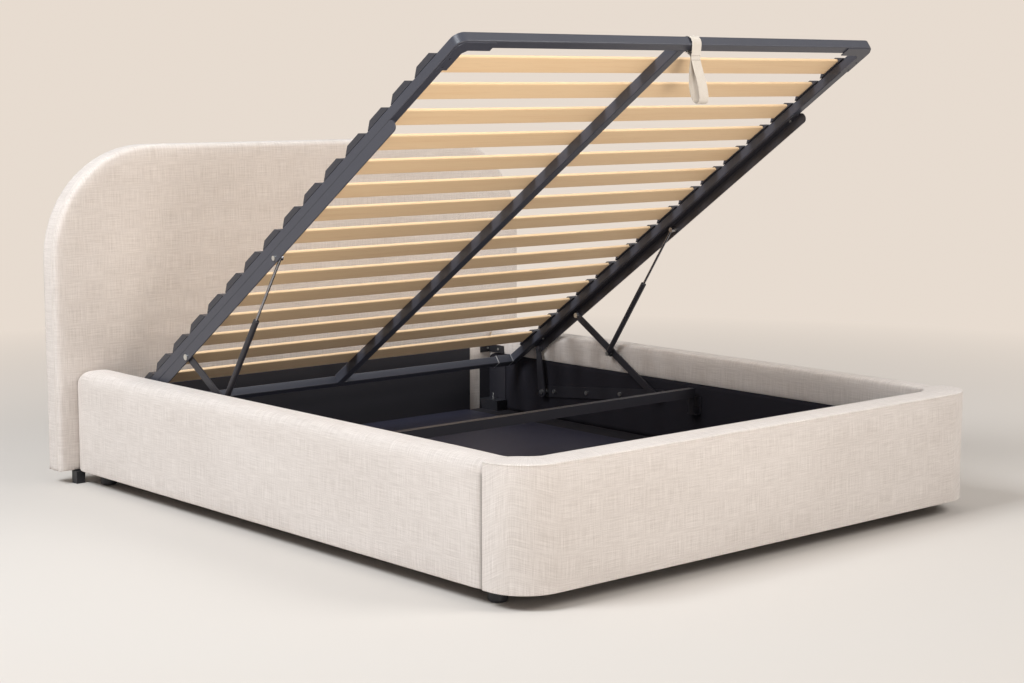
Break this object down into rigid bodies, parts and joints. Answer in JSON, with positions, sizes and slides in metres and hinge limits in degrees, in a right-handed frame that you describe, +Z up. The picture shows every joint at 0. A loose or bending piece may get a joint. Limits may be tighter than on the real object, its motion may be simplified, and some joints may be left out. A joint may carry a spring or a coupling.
{
  "type": "ottoman storage bed",
  "caption": "Upholstered storage bed whose slatted steel platform lifts from the foot end on link arms and gas struts over a lined box.",
  "frame": {"origin": "on the floor under the centre of the bed's footprint, headboard included", "axes": "+X across the bed to the right as seen from the foot, +Y towards the headboard, +Z up; the platform is raised at rest"},
  "size_m": [1.915, 2.176, 1.378],
  "materials": {
    "upholstery": "woven oatmeal linen look",
    "board": "raw chipboard and plywood",
    "lining": "black non-woven cloth",
    "black_board": "black faced hardboard",
    "frame_steel": "anthracite powder coat",
    "black_steel": "black powder coat",
    "zinc": "zinc plated",
    "chrome": "hard chromed rod",
    "slat_wood": "bonded beech slat, satin",
    "plastic": "black moulded plastic",
    "webbing": "natural cotton webbing"
  },
  "bodies": {
    "base": {"base_pivots": "zinc", "base_plate_left": "black_steel", "base_plate_right": "black_steel", "beam_hooks": "frame_steel", "beam_sockets": "black_steel", "bracket_feet": "black_steel", "cross_beam": "frame_steel", "floor_board_foot": "black_board", "floor_board_head": "black_board", "floor_cross_ledges": "black_board", "floor_ledge_left": "black_board", "floor_ledge_right": "black_board", "foot_core": "board", "foot_cover": "upholstery", "foot_lining": "lining", "head_bracket_left": "black_steel", "head_bracket_right": "black_steel", "head_catches": "plastic", "headboard_back_cloth": "upholstery", "headboard_core": "board", "headboard_front_pad": "upholstery", "headboard_legs": "plastic", "headboard_side_band": "upholstery", "plate_screws": "zinc", "rail_core_left": "board", "rail_core_right": "board", "rail_cover_left": "upholstery", "rail_cover_right": "upholstery", "rail_feet": "plastic", "rail_lining_left": "lining", "rail_lining_right": "lining", "storage_head_panel": "black_board"},
    "platform": {"arm_bolts_left": "zinc", "arm_bolts_right": "zinc", "arm_flanges": "black_steel", "arm_left": "black_steel", "arm_right": "black_steel", "foot_gussets": "frame_steel", "head_sleeves": "frame_steel", "platform_centre_bar": "frame_steel", "platform_foot_bar": "frame_steel", "platform_head_bar": "frame_steel", "platform_side_tube_left": "frame_steel", "platform_side_tube_right": "frame_steel", "slat_holders_left": "plastic", "slat_holders_right": "plastic", "slats_foot": "slat_wood", "slats_head": "slat_wood", "slats_middle": "slat_wood"},
    "long_link_right": {"long_link_right": "black_steel", "strut_stud_right": "zinc"},
    "long_link_left": {"long_link_left": "black_steel", "strut_stud_left": "zinc"},
    "short_link_right": {"short_link_right": "black_steel"},
    "short_link_left": {"short_link_left": "black_steel"},
    "strut_cylinder_right": {"strut_cylinder_right": "black_steel"},
    "strut_cylinder_left": {"strut_cylinder_left": "black_steel"},
    "strut_rod_right": {"strut_rod_right": "chrome"},
    "strut_rod_left": {"strut_rod_left": "chrome"},
    "pull_strap": {"pull_strap": "webbing"}
  },
  "joints": [
    {"name": "lift", "type": "hinge", "parent": "base", "child": "long_link_right", "pos_m": [0, 0.1295, 0.203], "axis": [1, 0, 0], "range_deg": [-27.66, 0], "stiffness_Nm_per_rad": 108, "springref_deg": 147.81},
    {"name": "link_turn_left", "type": "hinge", "parent": "base", "child": "long_link_left", "pos_m": [0, 0.1295, 0.203], "axis": [1, 0, 0], "range_deg": [-27.86, 0.2]},
    {"name": "platform_turn", "type": "hinge", "parent": "long_link_right", "child": "platform", "pos_m": [0, 0.51853, 0.44303], "axis": [1, 0, 0], "range_deg": [-0.2, 62.7]},
    {"name": "short_link_turn_right", "type": "hinge", "parent": "base", "child": "short_link_right", "pos_m": [0, 0.699, 0.151], "axis": [1, 0, 0], "range_deg": [-50.17, 0.2]},
    {"name": "strut_turn_right", "type": "hinge", "parent": "long_link_right", "child": "strut_cylinder_right", "pos_m": [0, 0.34869, 0.32766], "axis": [1, 0, 0], "range_deg": [-0.2, 80.11]},
    {"name": "strut_slide_right", "type": "slide", "parent": "strut_cylinder_right", "child": "strut_rod_right", "axis": [0, -0.5571, 0.8305], "range_m": [-0.16651, 0.0005]},
    {"name": "short_link_turn_left", "type": "hinge", "parent": "base", "child": "short_link_left", "pos_m": [0, 0.699, 0.151], "axis": [1, 0, 0], "range_deg": [-50.17, 0.2]},
    {"name": "strut_turn_left", "type": "hinge", "parent": "long_link_left", "child": "strut_cylinder_left", "pos_m": [0, 0.34869, 0.32766], "axis": [1, 0, 0], "range_deg": [-0.2, 80.11]},
    {"name": "strut_slide_left", "type": "slide", "parent": "strut_cylinder_left", "child": "strut_rod_left", "axis": [0, -0.5571, 0.8305], "range_m": [-0.16651, 0.0005]},
    {"name": "strap_swing", "type": "hinge", "parent": "platform", "child": "pull_strap", "pos_m": [0, -0.7333, 1.35597], "axis": [1, 0, 0], "range_deg": [-34, 25]}
  ],
  "couplings": [
    {"joint": "link_turn_left", "follows": "lift", "ratio": 1},
    {"joint": "platform_turn", "follows": "lift", "ratio": -2.2598},
    {"joint": "short_link_turn_right", "follows": "lift", "ratio": 1.8067},
    {"joint": "strut_turn_right", "follows": "lift", "ratio": -2.8892},
    {"joint": "strut_slide_right", "follows": "lift", "m_per_rad": 0.34388},
    {"joint": "short_link_turn_left", "follows": "lift", "ratio": 1.8067},
    {"joint": "strut_turn_left", "follows": "lift", "ratio": -2.8892},
    {"joint": "strut_slide_left", "follows": "lift", "m_per_rad": 0.34388}
  ]
}
